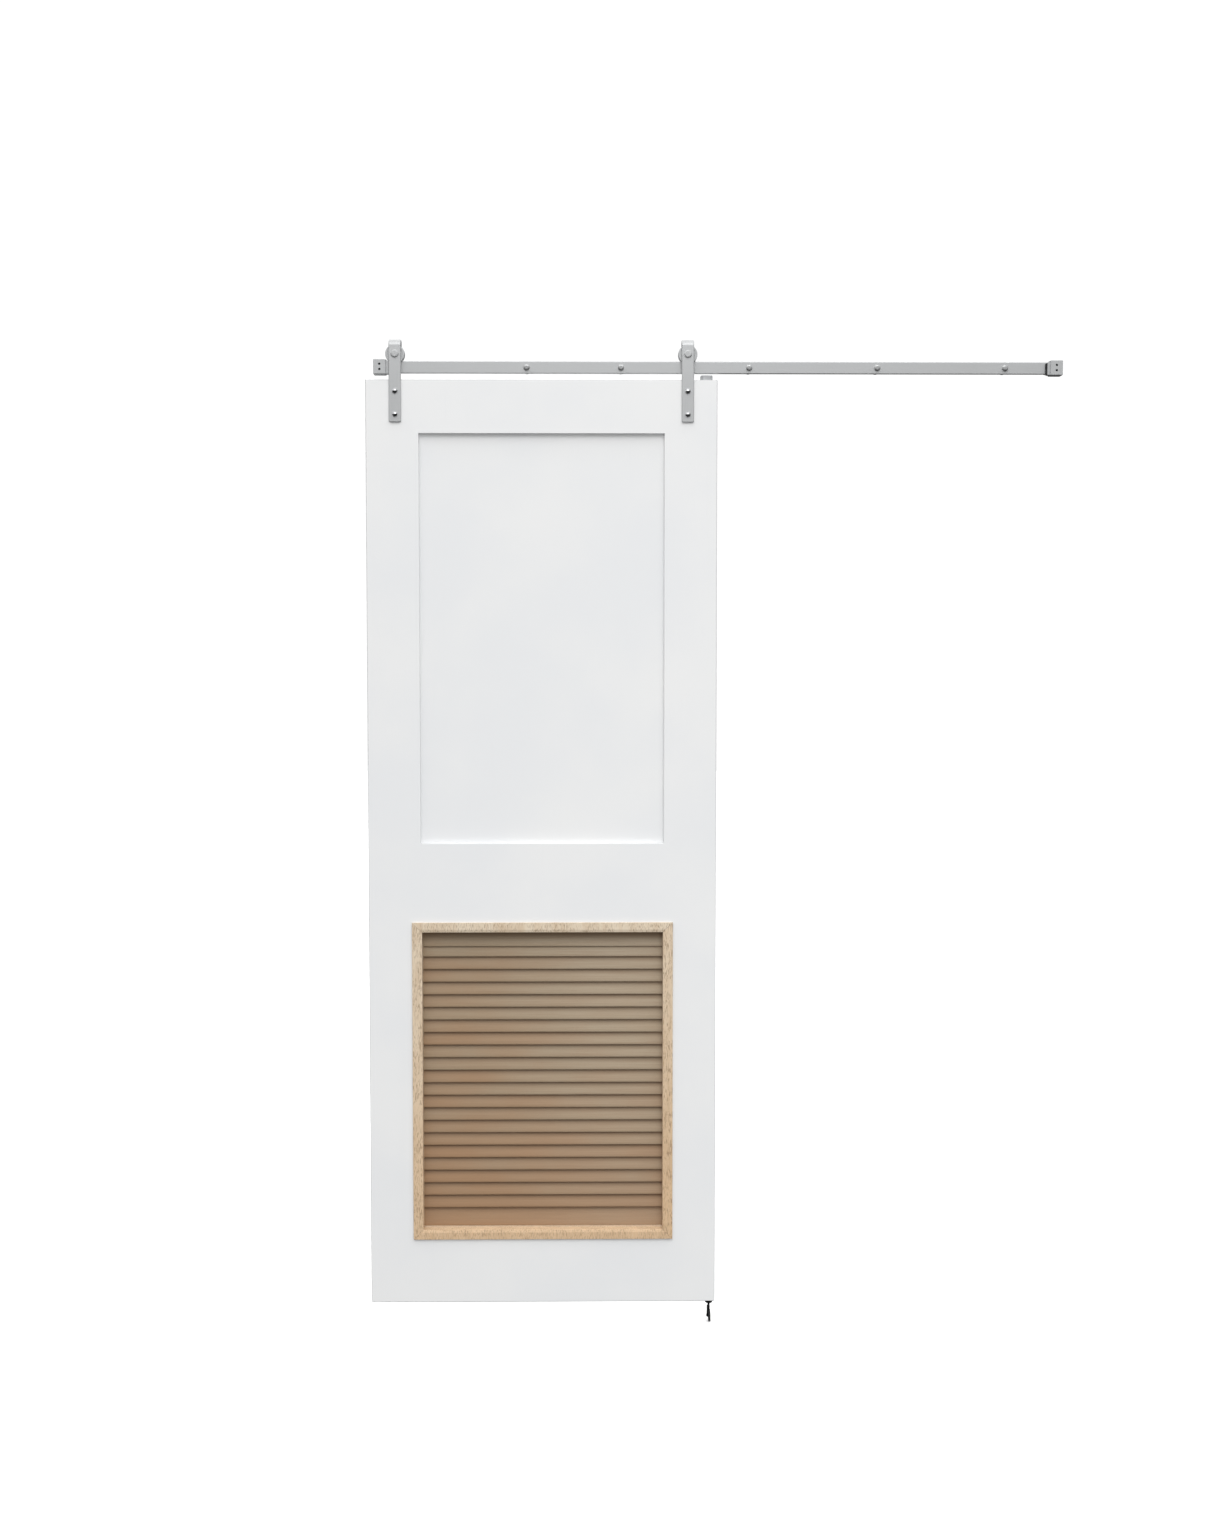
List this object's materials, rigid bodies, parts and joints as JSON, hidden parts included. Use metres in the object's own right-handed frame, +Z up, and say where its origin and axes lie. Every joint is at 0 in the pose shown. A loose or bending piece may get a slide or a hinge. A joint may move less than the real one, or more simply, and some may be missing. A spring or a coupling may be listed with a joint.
{
  "type": "sliding barn door",
  "caption": "White panelled barn door with a louvre insert, hung by two strap hangers with grooved wheels on a flat bar rail with end stops.",
  "frame": {"origin": "where the axis of the left end wall screw crosses the wall face", "axes": "+X along the rail to the right seen from the room, +Y into the wall, +Z up"},
  "size_m": [1.8126, 0.1055, 2.6008],
  "materials": {
    "silver_steel": "satin silver grey powder coat",
    "zinc_steel": "plain zinc",
    "bright_steel": "bright zinc",
    "chrome_bolt": "polished",
    "black_rubber": "matt",
    "black_metal": "satin black",
    "grey_nylon": "matt",
    "white_paint": "satin white lacquer",
    "beech_frame": "clear satin",
    "slat_wood": "clear satin"
  },
  "bodies": {
    "track": {"rail": "silver_steel", "wall_spacers": "zinc_steel", "lag_screws": "bright_steel", "end_stop_left": "silver_steel", "end_stop_right": "silver_steel", "stop_pads_left": "black_rubber", "stop_pads_right": "black_rubber", "stop_set_screws": "zinc_steel"},
    "door": {"hanger_strap_left": "silver_steel", "hanger_strap_right": "silver_steel", "axle_bolts": "silver_steel", "axle_washers": "zinc_steel", "axle_nuts": "zinc_steel", "axle_sleeves": "zinc_steel", "bearing_inner_rings": "zinc_steel", "strap_bolts": "chrome_bolt", "sleeve_nuts": "zinc_steel", "door_stile_left": "white_paint", "door_stile_right": "white_paint", "door_top_rail": "white_paint", "door_middle_rail": "white_paint", "door_bottom_rail": "white_paint", "door_upper_panel": "white_paint", "louvre_frame_top": "beech_frame", "louvre_frame_bottom": "beech_frame", "louvre_frame_left": "beech_frame", "louvre_frame_right": "beech_frame", "louvre_slats": "slat_wood", "anti_jump_block": "grey_nylon", "anti_jump_screw": "zinc_steel", "caster_socket": "black_metal"},
    "wheel_left": {"wheel_left": "silver_steel", "wheel_left_bearing_ring": "zinc_steel", "wheel_left_bearing_balls": "zinc_steel"},
    "wheel_right": {"wheel_right": "silver_steel", "wheel_right_bearing_ring": "zinc_steel", "wheel_right_bearing_balls": "zinc_steel"},
    "caster_swivel": {"caster_arm": "black_metal", "caster_axle": "black_metal"},
    "caster_roller": {"caster_wheel": "black_rubber"}
  },
  "joints": [
    {"name": "door_slide", "type": "slide", "parent": "track", "child": "door", "axis": [1, 0, 0], "range_m": [0, 0.9198]},
    {"name": "wheel_left_spin", "type": "hinge", "parent": "door", "child": "wheel_left", "pos_m": [-0.0074, -0.034, 0.03338], "axis": [0, 1, 0], "continuous": true},
    {"name": "wheel_right_spin", "type": "hinge", "parent": "door", "child": "wheel_right", "pos_m": [0.7526, -0.034, 0.03338], "axis": [0, 1, 0], "continuous": true},
    {"name": "caster_turn", "type": "hinge", "parent": "door", "child": "caster_swivel", "pos_m": [0.8149, -0.028, -2.48462], "axis": [0, 0, 1], "continuous": true},
    {"name": "caster_roll", "type": "hinge", "parent": "caster_swivel", "child": "caster_roller", "pos_m": [0.8141, -0.023, -2.51363], "axis": [1, 0, 0], "continuous": true}
  ],
  "couplings": [
    {"joint": "wheel_left_spin", "follows": "door_slide", "rad_per_m": 57.143},
    {"joint": "wheel_right_spin", "follows": "door_slide", "rad_per_m": 57.143}
  ]
}
